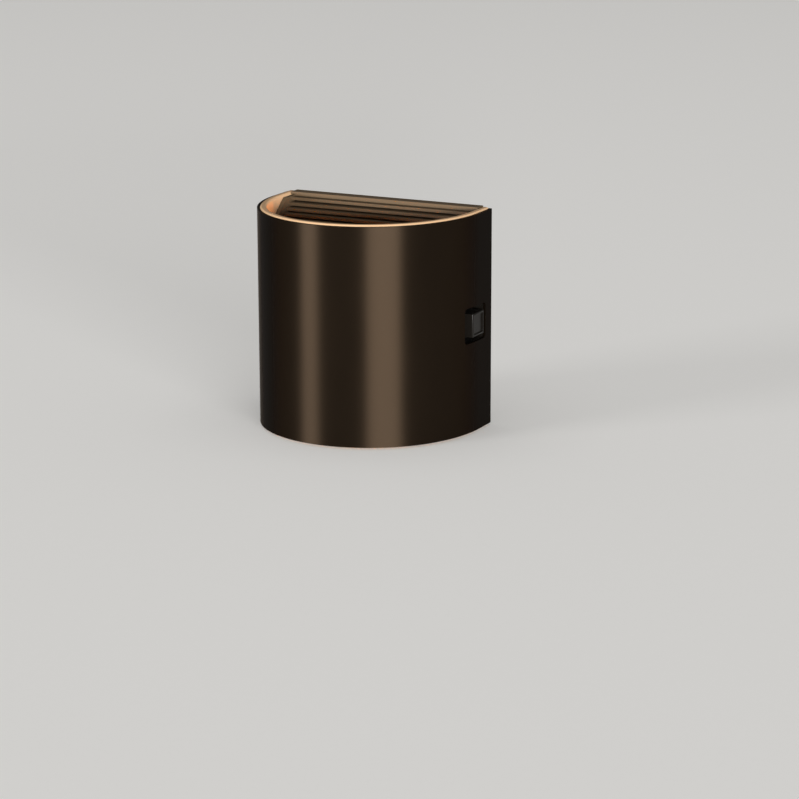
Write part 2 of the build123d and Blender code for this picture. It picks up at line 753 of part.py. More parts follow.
# ================================================================ lamps
# Lamp carrier: shelf across the room behind the openings, a lamp board on each side.
with BuildPart() as lamp_carrier:
    with BuildSketch(middle.offset(-carrier_half)):
        add(half_round(housing_inset, near=driver_depth))
        with Locations(*lamp_screw_spots):
            Circle(pan_screw_radius + slip_gap, mode=Mode.SUBTRACT)
    extrude(amount=carrier_thickness)

with BuildPart() as upper_lamp_board:
    with BuildSketch(middle.offset(carrier_half)):
        add(half_round(lamp_board_edge, near=lamp_board_start))
        with Locations(*lamp_screw_spots):
            Circle(pan_screw_radius + slip_gap, mode=Mode.SUBTRACT)
    extrude(amount=lamp_board_thickness)

with BuildPart() as lower_lamp_board:
    mirror(upper_lamp_board.part, about=middle)

with BuildPart() as upper_leds:
    led_spots = [(-led_spacing / 2, -led_depth), (led_spacing / 2, -led_depth)]
    with BuildSketch(middle.offset(lamp_board_top)):
        with Locations(*led_spots):
            Rectangle(led_length, led_width)
    extrude(amount=led_height)
    with BuildSketch(middle.offset(lamp_board_top + led_height)):
        with Locations(*led_spots):
            RectangleRounded(led_length - led_height, led_width - led_height, led_height / 2)
    extrude(amount=-led_height / 4, mode=Mode.SUBTRACT)

with BuildPart() as lower_leds:
    mirror(upper_leds.part, about=middle)

# Lamp screws: each clamps both lamp boards to the carrier, with a nut below.
with BuildPart() as lamp_screws:
    upper_face = middle.offset(lamp_board_top)
    screw_length = 2 * lamp_board_top + nut_height + lamp_screw_end
    pan_screws(upper_face, lamp_screw_spots, screw_length)
    cross_recess(upper_face.offset(pan_head_height), lamp_screw_spots, pan_head_radius)

with BuildPart() as lamp_nuts:
    with BuildSketch(middle.offset(-lamp_board_top)):
        with Locations(*lamp_screw_spots):
            RegularPolygon(nut_width / 2, 6, major_radius=False)
            Circle(pan_screw_radius + thread_gap, mode=Mode.SUBTRACT)
    extrude(amount=-nut_height)

# Lenses: clear half-round covers over the lamps, their flanges held under the liner's beads.
with BuildPart() as upper_lens:
    with BuildSketch(middle.offset(carrier_half)):
        add(half_round(lens_inset))
    extrude(amount=lens_height)
    chamfer(upper_lens.faces().sort_by(Axis.Z)[-1].edges(), lens_chamfer)
    with BuildSketch(middle.offset(carrier_half)):
        add(half_round(0, far=driver_depth))
    extrude(amount=lens_height, mode=Mode.SUBTRACT)
    with BuildSketch(middle.offset(carrier_half)):
        add(half_round(housing_inset, near=driver_depth))
    extrude(amount=flange_thickness)
    with BuildSketch(middle.offset(carrier_half)):
        add(half_round(lens_inset + lens_wall, near=driver_depth + lens_wall))
    extrude(amount=lens_height - lens_wall, mode=Mode.SUBTRACT)
    with BuildSketch(Plane.XZ.offset(driver_depth)):
        with Locations((0, mid_z + carrier_half)):
            Rectangle(
                pin_slot_width,
                lamp_board_thickness + pin_size + pin_room,
                align=(Align.CENTER, Align.MIN),
            )
    extrude(amount=lens_wall, mode=Mode.SUBTRACT)

with BuildPart() as lower_lens:
    mirror(upper_lens.part, about=middle)

# ================================================================ slide switch
with BuildPart() as switch_frame:
    frame_centre_x = (switch_x + switch_back_x) / 2
    with BuildSketch(middle.offset(-switch_length / 2)):
        with Locations((frame_centre_x, -switch_depth)):
            Rectangle(switch_body, switch_width)
        with Locations((frame_centre_x - switch_sheet, -switch_depth)):
            Rectangle(switch_body, switch_width - 2 * switch_sheet, mode=Mode.SUBTRACT)
    extrude(amount=switch_length)
    with BuildSketch(Plane.YZ.offset(switch_x - switch_sheet)):
        with Locations((-switch_depth, mid_z)):
            Rectangle(nib_size + 2 * slip_gap, nib_size + 2 * (knob_travel + slip_gap))
    extrude(amount=switch_sheet, mode=Mode.SUBTRACT)

with BuildPart() as switch_base:
    with BuildSketch(Plane.YZ.offset(switch_back_x)):
        with Locations((-switch_depth, mid_z)):
            Rectangle(switch_width - 2 * (switch_sheet + bond_gap), switch_length)
        with Locations(*[(-switch_depth, level) for level in terminal_levels]):
            Rectangle(
                terminal_thickness + 2 * bond_gap, terminal_width + 2 * bond_gap, mode=Mode.SUBTRACT
            )
    extrude(amount=switch_base_thickness)

# Terminals: a contact head on the base, a stem through it and a leg down through the board.
with BuildPart() as switch_terminals:
    leg_length = board_front + lead_standout - switch_depth
    for level in terminal_levels:
        with BuildSketch(Plane.XY.offset(level - terminal_width / 2)):
            with Locations((base_x, -switch_depth)):
                Rectangle(terminal_thickness, contact_width, align=(Align.MIN, Align.CENTER))
            with Locations((base_x, -switch_depth)):
                Rectangle(
                    base_x - terminal_x, terminal_thickness, align=(Align.MAX, Align.CENTER)
                )
            with Locations((terminal_x, -switch_depth + terminal_thickness / 2)):
                Rectangle(
                    terminal_thickness,
                    leg_length + terminal_thickness / 2,
                    align=(Align.CENTER, Align.MAX),
                )
        extrude(amount=terminal_width)

with BuildPart() as switch_slider:
    with BuildSketch(Plane.YZ.offset(slider_back_x)):
        with Locations((-switch_depth, mid_z)):
            Rectangle(switch_width - 2 * (switch_sheet + slip_gap), slider_length)
    extrude(amount=slider_thickness)
    with BuildSketch(Plane.YZ.offset(slider_x)):
        with Locations((-switch_depth, mid_z)):
            Rectangle(nib_size, nib_size)
    extrude(amount=shield_x + nib_socket - slider_x)

# Contact: sprung bridge under the slider, its two feet just clear of the terminals.
with BuildPart() as switch_contact:
    foot_x = base_x + terminal_thickness + bond_gap + contact_thickness / 2
    crown_x = slider_back_x - contact_thickness / 2
    with BuildSketch(Plane.XZ.offset(switch_depth - contact_width / 2)):
        with BuildLine():
            Polyline(
                (foot_x, mid_z - contact_length / 2),
                (foot_x, mid_z - contact_length / 3),
                (crown_x, mid_z - contact_length / 6),
                (crown_x, mid_z + contact_length / 6),
                (foot_x, mid_z + contact_length / 3),
                (foot_x, mid_z + contact_length / 2),
            )
        trace(line_width=contact_thickness)
    extrude(amount=contact_width)

# Shield: slides with the knob behind the window and keeps it closed over the whole travel.
with BuildPart() as switch_shield:
    with BuildSketch(Plane.YZ.offset(shield_back_x)):
        with Locations((-switch_depth, mid_z)):
            RectangleRounded(shield_width, shield_height, window_round)
            Rectangle(nib_size + 2 * bond_gap, nib_size + 2 * bond_gap, mode=Mode.SUBTRACT)
    extrude(amount=shield_thickness)

with BuildPart() as switch_knob:
    with BuildSketch(Plane.YZ.offset(shield_x)):
        with Locations((-switch_depth, mid_z)):
            Rectangle(grip_width, grip_height)
    extrude(amount=half_width + grip_standout - shield_x)
    fillet(switch_knob.faces().sort_by(Axis.X)[-1].edges(), grip_round)
    dish_width = grip_width - 2 * (grip_round + grip_rim)
    dish_height = grip_height - 2 * (grip_round + grip_rim)
    with BuildSketch(Plane.YZ.offset(half_width + grip_standout)):
        with Locations((-switch_depth, mid_z)):
            RectangleRounded(dish_width, dish_height, dish_round)
    extrude(amount=-dish_depth, mode=Mode.SUBTRACT)
    with BuildSketch(Plane.YZ.offset(shield_x)):
        with Locations((-switch_depth, mid_z)):
            Rectangle(nib_size + 2 * bond_gap, nib_size + 2 * bond_gap)
    extrude(amount=nib_socket + bond_gap, mode=Mode.SUBTRACT)

# ================================================================ files
pieces = {
    "outer_sleeve": outer_sleeve,
    "inner_liner": inner_liner,
    "switch_bezel": switch_bezel,
    "driver_housing": driver_housing,
    "upper_louvre": upper_louvre,
    "lower_louvre": lower_louvre,
    "back_plate": back_plate,
    "plate_screws": plate_screws,
    "neutral_blade": neutral_blade,
    "live_blade": live_blade,
    "blade_clamp": blade_clamp,
    "clamp_screw": clamp_screw,
    "driver_board": driver_board,
    "board_screws": board_screws,
    "film_capacitor": film_capacitor,
    "electrolytic_capacitor": electrolytic_capacitor,
    "fuse_resistor": fuse_resistor,
    "bridge_rectifier": bridge_rectifier,
    "driver_chip": driver_chip,
    "chip_resistors": chip_resistors,
    "lamp_header": lamp_header,
    "lamp_pins": lamp_pins,
    "lamp_carrier": lamp_carrier,
    "upper_lamp_board": upper_lamp_board,
    "lower_lamp_board": lower_lamp_board,
    "upper_leds": upper_leds,
    "lower_leds": lower_leds,
    "lamp_screws": lamp_screws,
    "lamp_nuts": lamp_nuts,
    "upper_lens": upper_lens,
    "lower_lens": lower_lens,
    "switch_frame": switch_frame,
    "switch_base": switch_base,
    "switch_terminals": switch_terminals,
    "switch_slider": switch_slider,
    "switch_contact": switch_contact,
    "switch_shield": switch_shield,
    "switch_knob": switch_knob,
}
for name, piece in pieces.items():
    piece.part.label = name
    export_step(piece.part, f"parts/{name}.step")
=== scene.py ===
"""Looks of a plug-in up-and-down night light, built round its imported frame."""

import logging
import math
from contextlib import contextmanager
from dataclasses import dataclass, field
from enum import Enum
from typing import Callable, Iterable, Iterator, Optional, Sequence, Union

import bpy
from mathutils import Euler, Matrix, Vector


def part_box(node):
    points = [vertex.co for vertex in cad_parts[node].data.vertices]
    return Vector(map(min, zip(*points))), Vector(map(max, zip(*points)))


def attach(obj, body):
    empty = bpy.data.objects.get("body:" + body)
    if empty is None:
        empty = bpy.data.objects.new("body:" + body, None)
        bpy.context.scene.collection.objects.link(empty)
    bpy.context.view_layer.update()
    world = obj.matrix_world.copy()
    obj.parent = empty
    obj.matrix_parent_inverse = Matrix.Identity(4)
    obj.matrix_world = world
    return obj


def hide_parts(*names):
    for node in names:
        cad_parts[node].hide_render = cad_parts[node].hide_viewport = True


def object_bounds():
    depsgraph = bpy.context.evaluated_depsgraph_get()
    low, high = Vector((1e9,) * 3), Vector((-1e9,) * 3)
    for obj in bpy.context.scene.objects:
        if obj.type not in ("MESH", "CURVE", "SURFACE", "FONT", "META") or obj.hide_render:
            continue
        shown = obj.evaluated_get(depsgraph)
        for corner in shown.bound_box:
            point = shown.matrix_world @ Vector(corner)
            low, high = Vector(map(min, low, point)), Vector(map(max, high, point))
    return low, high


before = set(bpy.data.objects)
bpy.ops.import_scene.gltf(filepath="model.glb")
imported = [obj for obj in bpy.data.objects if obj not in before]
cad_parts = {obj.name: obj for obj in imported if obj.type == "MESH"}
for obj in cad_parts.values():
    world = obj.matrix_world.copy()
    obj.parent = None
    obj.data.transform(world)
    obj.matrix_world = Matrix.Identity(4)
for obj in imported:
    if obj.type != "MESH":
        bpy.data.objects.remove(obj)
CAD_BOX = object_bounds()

Colour = tuple[float, float, float]
Place = tuple[float, float, float]
Spot = tuple[float, float]
Value = Union["Signal", float]
FaceTest = Callable[[bpy.types.MeshPolygon], bool]

LOG = logging.getLogger("night_light")

MM = 0.001
EVEN: Place = (1.0, 1.0, 1.0)
BLACK: Colour = (0.0, 0.0, 0.0)
LAMP_LIGHT: Colour = (1.0, 0.42, 0.11)

# Points this near to each other, in millimetres, are one point.
WELD_REACH = 0.0005
# Edges flatter than the first angle are needless; those sharper than the second are rounded.
FLAT_ANGLE = math.radians(0.3)
EDGE_ANGLE = math.radians(34.0)
QUARTER_TURN = math.radians(90.0)
# A face looks along an axis when its normal reaches this far along it.
FACES_THERE = 0.5


# ================================================================ named choices
class Body(Enum):
    """The CAD bodies."""

    HOUSING = "housing"
    SLIDE = "switch_slide"


class End(Enum):
    """The light's two open ends."""

    UPPER = "upper"
    LOWER = "lower"

    @property
    def sign(self) -> int:
        """1 for the upper end, -1 for the lower one."""
        return 1 if self is End.UPPER else -1


class Hand(Enum):
    """The light's two sides, seen from the room."""

    LEFT = "left"
    RIGHT = "right"

    @property
    def sign(self) -> int:
        """-1 for the left side, 1 for the right one."""
        return 1 if self is Hand.RIGHT else -1


class Grain(Enum):
    """Which way a metal's marks run, as a pattern's stretch."""

    ALONG_Y = (1.0, 0.06, 1.0)
    NONE = EVEN


# ================================================================ shader maths
class Signal:
    """A shader socket, or a number, that arithmetic can be written on."""

    NOISE_MEAN = 0.5

    def __init__(self, sheet: "NodeSheet", source: Union[bpy.types.NodeSocket, float]) -> None:
        """Wraps a source.

        Args:
            sheet: The node sheet that new nodes go on.
            source: An output socket or a plain number.
        """
        self.sheet = sheet
        self.source = source

    def _math(self, operation: str, *others: Value) -> "Signal":
        """Adds one Math node.

        Args:
            operation: The Math node's operation.
            others: The values after this one.

        Returns:
            The node's result.
        """
        values = dict(enumerate([self, *others]))
        return self.sheet.add("ShaderNodeMath", {"operation": operation}, values)

    def __add__(self, other: Value) -> "Signal":
        """This value plus another."""
        return self._math("ADD", other)

    def __sub__(self, other: Value) -> "Signal":
        """This value less another."""
        return self._math("SUBTRACT", other)

    def __rsub__(self, other: float) -> "Signal":
        """A number less this value."""
        return Signal(self.sheet, other)._math("SUBTRACT", self)

    def __mul__(self, other: Value) -> "Signal":
        """This value times another."""
        return self._math("MULTIPLY", other)

    def __truediv__(self, other: Value) -> "Signal":
        """This value divided by another."""
        return self._math("DIVIDE", other)

    def __rtruediv__(self, other: float) -> "Signal":
        """A number divided by this value."""
        return Signal(self.sheet, other)._math("DIVIDE", self)

    __radd__ = __add__
    __rmul__ = __mul__

    def clipped(self) -> "Signal":
        """This value held between nought and one."""
        settings = {"operation": "ADD", "use_clamp": True}
        return self.sheet.add("ShaderNodeMath", settings, {0: self, 1: 0.0})

    def above(self, limit: float, soft: float) -> "Signal":
        """A mask that rises from nought to one at a limit.

        Args:
            limit: The value at the middle of the rise.
            soft: The width of the rise; below nought, the mask falls instead.

        Returns:
            The mask.
        """
        return ((self - (limit - soft / 2)) / soft).clipped()

    def spread(self, width: float) -> "Signal":
        """Noise brought to a mean of nought and to a width."""
        return (self - self.NOISE_MEAN) * width


class NodeSheet:
    """One material's nodes, round a single Principled shader."""

    MIX_FACTOR, MIX_FIRST, MIX_SECOND, MIX_COLOUR = 0, 6, 7, 2

    def __init__(self, name: str) -> None:
        """Starts an empty sheet.

        Args:
            name: The material's name.
        """
        self.material = bpy.data.materials.new(name)
        self.material.use_nodes = True
        self.tree = self.material.node_tree
        self.tree.nodes.clear()
        self.output = self.tree.nodes.new("ShaderNodeOutputMaterial")
        self.shader = self.tree.nodes.new("ShaderNodeBsdfPrincipled")
        self.tree.links.new(self.shader.outputs[0], self.output.inputs[0])

    def plug(self, socket: bpy.types.NodeSocket, value: object) -> None:
        """Gives a socket its value or link.

        Args:
            socket: The input to fill.
            value: A signal, a number, a colour or a vector.
        """
        if isinstance(value, Signal):
            if isinstance(value.source, bpy.types.NodeSocket):
                self.tree.links.new(value.source, socket)
                return
            value = value.source
        if isinstance(value, tuple) and socket.type == "RGBA":
            value = (*value, 1.0)
        socket.default_value = value

    def add(
        self,
        kind: str,
        settings: dict[str, object],
        sockets: dict[Union[int, str], object],
        output: Union[int, str] = 0,
    ) -> Signal:
        """Adds a node.

        Args:
            kind: The node's type.
            settings: Properties set before its sockets.
            sockets: Values or links, by the input's name or number.
            output: Which output to return.

        Returns:
            The node's output.
        """
        node = self.tree.nodes.new(kind)
        for name, value in settings.items():
            setattr(node, name, value)
        for name, value in sockets.items():
            self.plug(node.inputs[name], value)
        return Signal(self, node.outputs[output])

    def place(self, stretch: Place = EVEN) -> Signal:
        """Object coordinates in millimetres.

        Args:
            stretch: How often a pattern repeats along each axis, against its own scale.

        Returns:
            The coordinates.
        """
        at = self.add("ShaderNodeTexCoord", {}, {}, "Object")
        scale = tuple(value / MM for value in stretch)
        return self.add("ShaderNodeMapping", {}, {"Vector": at, "Scale": scale})

    def height(self) -> Signal:
        """The object's height coordinate in millimetres, as a number."""
        return self.add("ShaderNodeSeparateXYZ", {}, {0: self.place()}, "Z")

    def noise(self, size: float, octaves: float = 2.0, stretch: Place = EVEN) -> Signal:
        """Noise, with its mean near a half.

        Args:
            size: Its grains' size in millimetres.
            octaves: How many finer layers it has.
            stretch: As in place().

        Returns:
            The noise.
        """
        sockets = {"Vector": self.place(stretch), "Scale": 1.0 / size, "Detail": octaves}
        return self.add("ShaderNodeTexNoise", {}, sockets)

    def islands(self, size: float, unevenness: float) -> Signal:
        """How far a point is from the border between islands of one size.

        Args:
            size: The islands' size in millimetres.
            unevenness: Nought for a grid of squares, one for islands at random.

        Returns:
            The distance, in islands.
        """
        settings = {"feature": "DISTANCE_TO_EDGE"}
        sockets = {"Vector": self.place(), "Scale": 1.0 / size, "Randomness": unevenness}
        return self.add("ShaderNodeTexVoronoi", settings, sockets)

    def blend(self, factor: Signal, first: object, second: object) -> Signal:
        """Mixes two colours.

        Args:
            factor: Nought for the first, one for the second.
            first: A colour or a link.
            second: A colour or a link.

        Returns:
            The mixed colour.
        """
        sockets = {self.MIX_FACTOR: factor, self.MIX_FIRST: first, self.MIX_SECOND: second}
        return self.add("ShaderNodeMix", {"data_type": "RGBA"}, sockets, self.MIX_COLOUR)

    def bump(self, height: Signal, depth: float, under: Optional[Signal] = None) -> Signal:
        """Turns a height into a normal.

        Args:
            height: The height, from nought to one.
            depth: What one stands for, in millimetres.
            under: Another bump that this one lies on.

        Returns:
            The normal.
        """
        sockets = {"Height": height, "Distance": depth * MM, "Strength": 1.0}
        if under is not None:
            sockets["Normal"] = under
        return self.add("ShaderNodeBump", {}, sockets)

    def finish(self, **sockets: object) -> bpy.types.Material:
        """Fills the shader's sockets.

        Args:
            sockets: Values by the socket's name, with _ for a space.

        Returns:
            The material.
        """
        for name, value in sockets.items():
            self.plug(self.shader.inputs[name.replace("_", " ")], value)
        return self.material


def scaled(values: Place, factor: float) -> Place:
    """Multiplies a linear colour or a place.

    Args:
        values: Its three numbers.
        factor: What each is multiplied by.

    Returns:
        The new colour or place.
    """
    return tuple(value * factor for value in values)


# ================================================================ finishes
@dataclass(frozen=True)
class Finish:
    """What every finish has: a name, and a material made from its values."""

    name: str

    def make(self) -> bpy.types.Material:
        """Builds the material; each kind of finish has its own way."""
        raise NotImplementedError


@dataclass(frozen=True)
class CoatedMetal(Finish):
    """Sprayed satin coat on thin sheet metal."""

    coat: Colour
    gleam: Colour
    worn: Colour
    roughness: float = 0.40
    metal: float = 0.85
    shine: float = 0.3
    brushing: float = 0.9
    brushing_turn: float = 0.25
    rim_band: float = 0.35
    rim_wear: float = 0.5
    rim_roughness: float = 0.1
    chip_size: float = 0.7
    chip_limit: float = 0.52
    chip_edge: float = 0.12
    cloud_size: float = 9.0
    cloud_stretch: Place = (1.0, 1.0, 0.35)
    cloud_dark: float = 0.85
    cloud_light: float = 1.2
    cloud_roughness: float = 0.08
    peel_size: float = 0.9
    peel_depth: float = 0.002
    dust_size: float = 0.16
    dust_depth: float = 0.0005

    def rim_mask(self, sheet: NodeSheet) -> Signal:
        """Masks the chipped bands at the top and the foot.

        Args:
            sheet: The material's nodes.

        Returns:
            The mask.
        """
        low, high = (corner.z / MM for corner in CAD_BOX)
        height = sheet.height()
        from_top = (high - height).above(self.rim_band, -self.rim_band)
        from_foot = (height - low).above(self.rim_band, -self.rim_band)
        chips = sheet.noise(self.chip_size, octaves=4.0).above(self.chip_limit, self.chip_edge)
        return (from_top + from_foot).clipped() * chips

    def make(self) -> bpy.types.Material:
        """Builds the material, with orange peel and paler, thinner coat at the rims.

        Returns:
            The material.
        """
        sheet = NodeSheet(self.name)
        rim = self.rim_mask(sheet)
        cloud = sheet.noise(self.cloud_size, octaves=3.0, stretch=self.cloud_stretch)
        dark, light = scaled(self.coat, self.cloud_dark), scaled(self.coat, self.cloud_light)
        colour = sheet.blend(cloud, dark, light)
        peel = sheet.bump(sheet.noise(self.peel_size, octaves=1.0), self.peel_depth)
        return sheet.finish(
            Base_Color=sheet.blend(rim * self.rim_wear, colour, self.worn),
            Roughness=cloud.spread(self.cloud_roughness)
            + self.roughness
            + rim * self.rim_roughness,
            Metallic=self.metal,
            Specular_IOR_Level=self.shine,
            Specular_Tint=self.gleam,
            Anisotropic=self.brushing,
            Anisotropic_Rotation=self.brushing_turn,
            Normal=sheet.bump(sheet.noise(self.dust_size), self.dust_depth, under=peel),
        )


@dataclass(frozen=True)
class MouldedPlastic(Finish):
    """Moulded plastic with a spark-eroded skin."""

    colour: Colour
    roughness: float = 0.45
    shine: float = 0.5
    grain_size: float = 0.13
    grain_depth: float = 0.006
    flow: float = 0.10
    glow: float = 0.0
    glow_reach: float = 0.8
    glow_colour: Colour = (1.0, 0.6, 0.35)
    cloud_size: float = 7.0
    cloud_stretch: Place = (1.0, 1.0, 0.5)
    cloud_share: float = 0.7
    cloud_roughness: float = 0.12
    speck_size: float = 0.4
    speck_roughness: float = 0.10

    def make(self) -> bpy.types.Material:
        """Builds the material, with fine grain, faint flow clouds and uneven gloss.

        Returns:
            The material.
        """
        sheet = NodeSheet(self.name)
        cloud = sheet.noise(self.cloud_size, octaves=3.0, stretch=self.cloud_stretch)
        speck = sheet.noise(self.speck_size, octaves=3.0)
        dark = scaled(self.colour, 1.0 - self.flow)
        light = scaled(self.colour, 1.0 + self.flow / 2)
        shade = (cloud * self.cloud_share + speck * (1.0 - self.cloud_share)).clipped()
        gloss = cloud.spread(self.cloud_roughness) + speck.spread(self.speck_roughness)
        skin = sheet.noise(self.grain_size, octaves=3.0)
        return sheet.finish(
            Base_Color=sheet.blend(shade, dark, light),
            Roughness=gloss + self.roughness,
            Specular_IOR_Level=self.shine,
            Normal=sheet.bump(skin, self.grain_depth),
            Subsurface_Weight=self.glow,
            Subsurface_Radius=self.glow_colour,
            Subsurface_Scale=self.glow_reach * MM,
        )


@dataclass(frozen=True)
class PlatedMetal(Finish):
    """Stamped or turned metal under thin plating."""

    colour: Colour
    tarnish: Colour
    roughness: float = 0.28
    grain: Grain = Grain.NONE
    mark_size: float = 0.12
    mark_depth: float = 0.003
    mark_roughness: float = 0.12
    tarnish_size: float = 2.6
    tarnish_limit: float = 0.56
    tarnish_edge: float = 0.25
    tarnish_cover: float = 0.28
    tarnish_dulling: float = 0.08

    def make(self) -> bpy.types.Material:
        """Builds the material, with fine tool marks and clouds of tarnish.

        Returns:
            The material.
        """
        sheet = NodeSheet(self.name)
        marks = sheet.noise(self.mark_size, stretch=self.grain.value)
        cloud = sheet.noise(self.tarnish_size, octaves=4.0)
        cloud = cloud.above(self.tarnish_limit, self.tarnish_edge)
        dulling = cloud * self.tarnish_dulling
        return sheet.finish(
            Base_Color=sheet.blend(cloud * self.tarnish_cover, self.colour, self.tarnish),
            Metallic=1.0 - dulling,
            Roughness=marks * self.mark_roughness + dulling + self.roughness,
            Normal=sheet.bump(marks, self.mark_depth),
        )


@dataclass(frozen=True)
class BoardMask(Finish):
    """Solder mask over etched copper on a circuit board."""

    mask: Colour
    copper: Colour
    roughness: float = 0.34
    pour_size: float = 5.5
    pour_gap: float = 0.04
    pour_crispness: float = 3.0
    pour_unevenness: float = 0.8
    pour_cover: float = 0.6
    pour_height: float = 0.8
    cloud_size: float = 4.0
    cloud_cover: float = 0.3
    weave_size: float = 0.35
    weave_roughness: float = 0.12
    depth: float = 0.03

    def make(self) -> bpy.types.Material:
        """Builds the material: copper pours show through, raised, with etched gaps between.

        Returns:
            The material.
        """
        sheet = NodeSheet(self.name)
        edge = sheet.islands(self.pour_size, self.pour_unevenness)
        pour = edge.above(self.pour_gap, self.pour_gap / self.pour_crispness)
        weave = sheet.noise(self.weave_size, octaves=1.0)
        cloud = sheet.noise(self.cloud_size)
        cover = pour * (cloud * self.cloud_cover + self.pour_cover)
        height = pour * self.pour_height + weave * (1.0 - self.pour_height)
        return sheet.finish(
            Base_Color=sheet.blend(cover, self.mask, self.copper),
            Roughness=weave * self.weave_roughness + self.roughness,
            Normal=sheet.bump(height, self.depth),
        )


@dataclass(frozen=True)
class FrostedLens(Finish):
    """Clear polycarbonate with a finely frosted skin, and a painted glow though it is no lamp."""

    colour: Colour
    # light and the strength after it give the lens a painted glow, standing in for the chips'
    # light scattered in the frost.
    light: Colour
    painted_glow: float
    see_through: float = 0.68
    roughness: float = 0.16
    frost_size: float = 0.25
    frost_depth: float = 0.008
    frost_roughness: float = 0.14
    frost_cover: float = 0.16
    frost_shade: float = 0.8
    cloud_size: float = 5.0
    cloud_shade: float = 0.94

    def make(self) -> bpy.types.Material:
        """Builds the material: cloudier where the frost is thicker, with a painted glow for the
        chips' light.

        Returns:
            The material.
        """
        sheet = NodeSheet(self.name)
        frost = sheet.noise(self.frost_size, octaves=3.0)
        cloud = sheet.noise(self.cloud_size)
        return sheet.finish(
            Base_Color=sheet.blend(cloud, scaled(self.colour, self.cloud_shade), self.colour),
            Alpha=frost.spread(self.frost_cover) + (1.0 - self.see_through),
            # Painted glow: the lens emits light of its own, as if lit from the chips below.
            Emission_Color=sheet.blend(frost, scaled(self.light, self.frost_shade), self.light),
            Emission_Strength=self.painted_glow,
            Roughness=frost * self.frost_roughness + self.roughness,
            Normal=sheet.bump(frost, self.frost_depth),
        )


@dataclass(frozen=True)
class Phosphor(Finish):
    """Glowing phosphor of a warm white lamp chip."""

    colour: Colour
    light: Colour
    strength: float
    roughness: float = 0.35
    grain_size: float = 0.18
    grain_depth: float = 0.01
    grain_shade: float = 0.9
    light_shade: float = 0.85

    def make(self) -> bpy.types.Material:
        """Builds the material, its light a little grainy like the cast phosphor.

        Returns:
            The material.
        """
        sheet = NodeSheet(self.name)
        grain = sheet.noise(self.grain_size)
        return sheet.finish(
            Base_Color=sheet.blend(grain, scaled(self.colour, self.grain_shade), self.colour),
            Emission_Color=sheet.blend(grain, scaled(self.light, self.light_shade), self.light),
            Emission_Strength=self.strength,
            Roughness=self.roughness,
            Normal=sheet.bump(grain, self.grain_depth),
        )


@dataclass(frozen=True)
class Paper(Finish):
    """Plain studio paper that a viewer sees a little brighter than the light on it."""

    colour: Colour
    lift: float
    roughness: float = 0.85
    shine: float = 0.2
    grain_size: float = 1.2
    grain_shade: float = 0.985
    seen_by: Sequence[str] = ("Is Camera Ray", "Is Glossy Ray", "Is Transmission Ray")

    def make(self) -> bpy.types.Material:
        """Builds the material; the lift shows to the eye, in mirrors and through glass only.

        Returns:
            The material.
        """
        sheet = NodeSheet(self.name)
        grain = sheet.noise(self.grain_size, octaves=3.0)
        seen = Signal(sheet, 0.0)
        for path in self.seen_by:
            seen = seen + sheet.add("ShaderNodeLightPath", {}, {}, path)
        return sheet.finish(
            Base_Color=sheet.blend(grain, scaled(self.colour, self.grain_shade), self.colour),
            Roughness=self.roughness,
            Specular_IOR_Level=self.shine,
            Emission_Color=sheet.blend(seen.clipped(), BLACK, self.colour),
            Emission_Strength=self.lift,
        )


# ================================================================ modelling
@dataclass(frozen=True)
class Seat:
    """A copy's place in millimetres, its stretch, and its turn about X in degrees."""

    place: Place
    stretch: Place = EVEN
    turn: float = 0.0


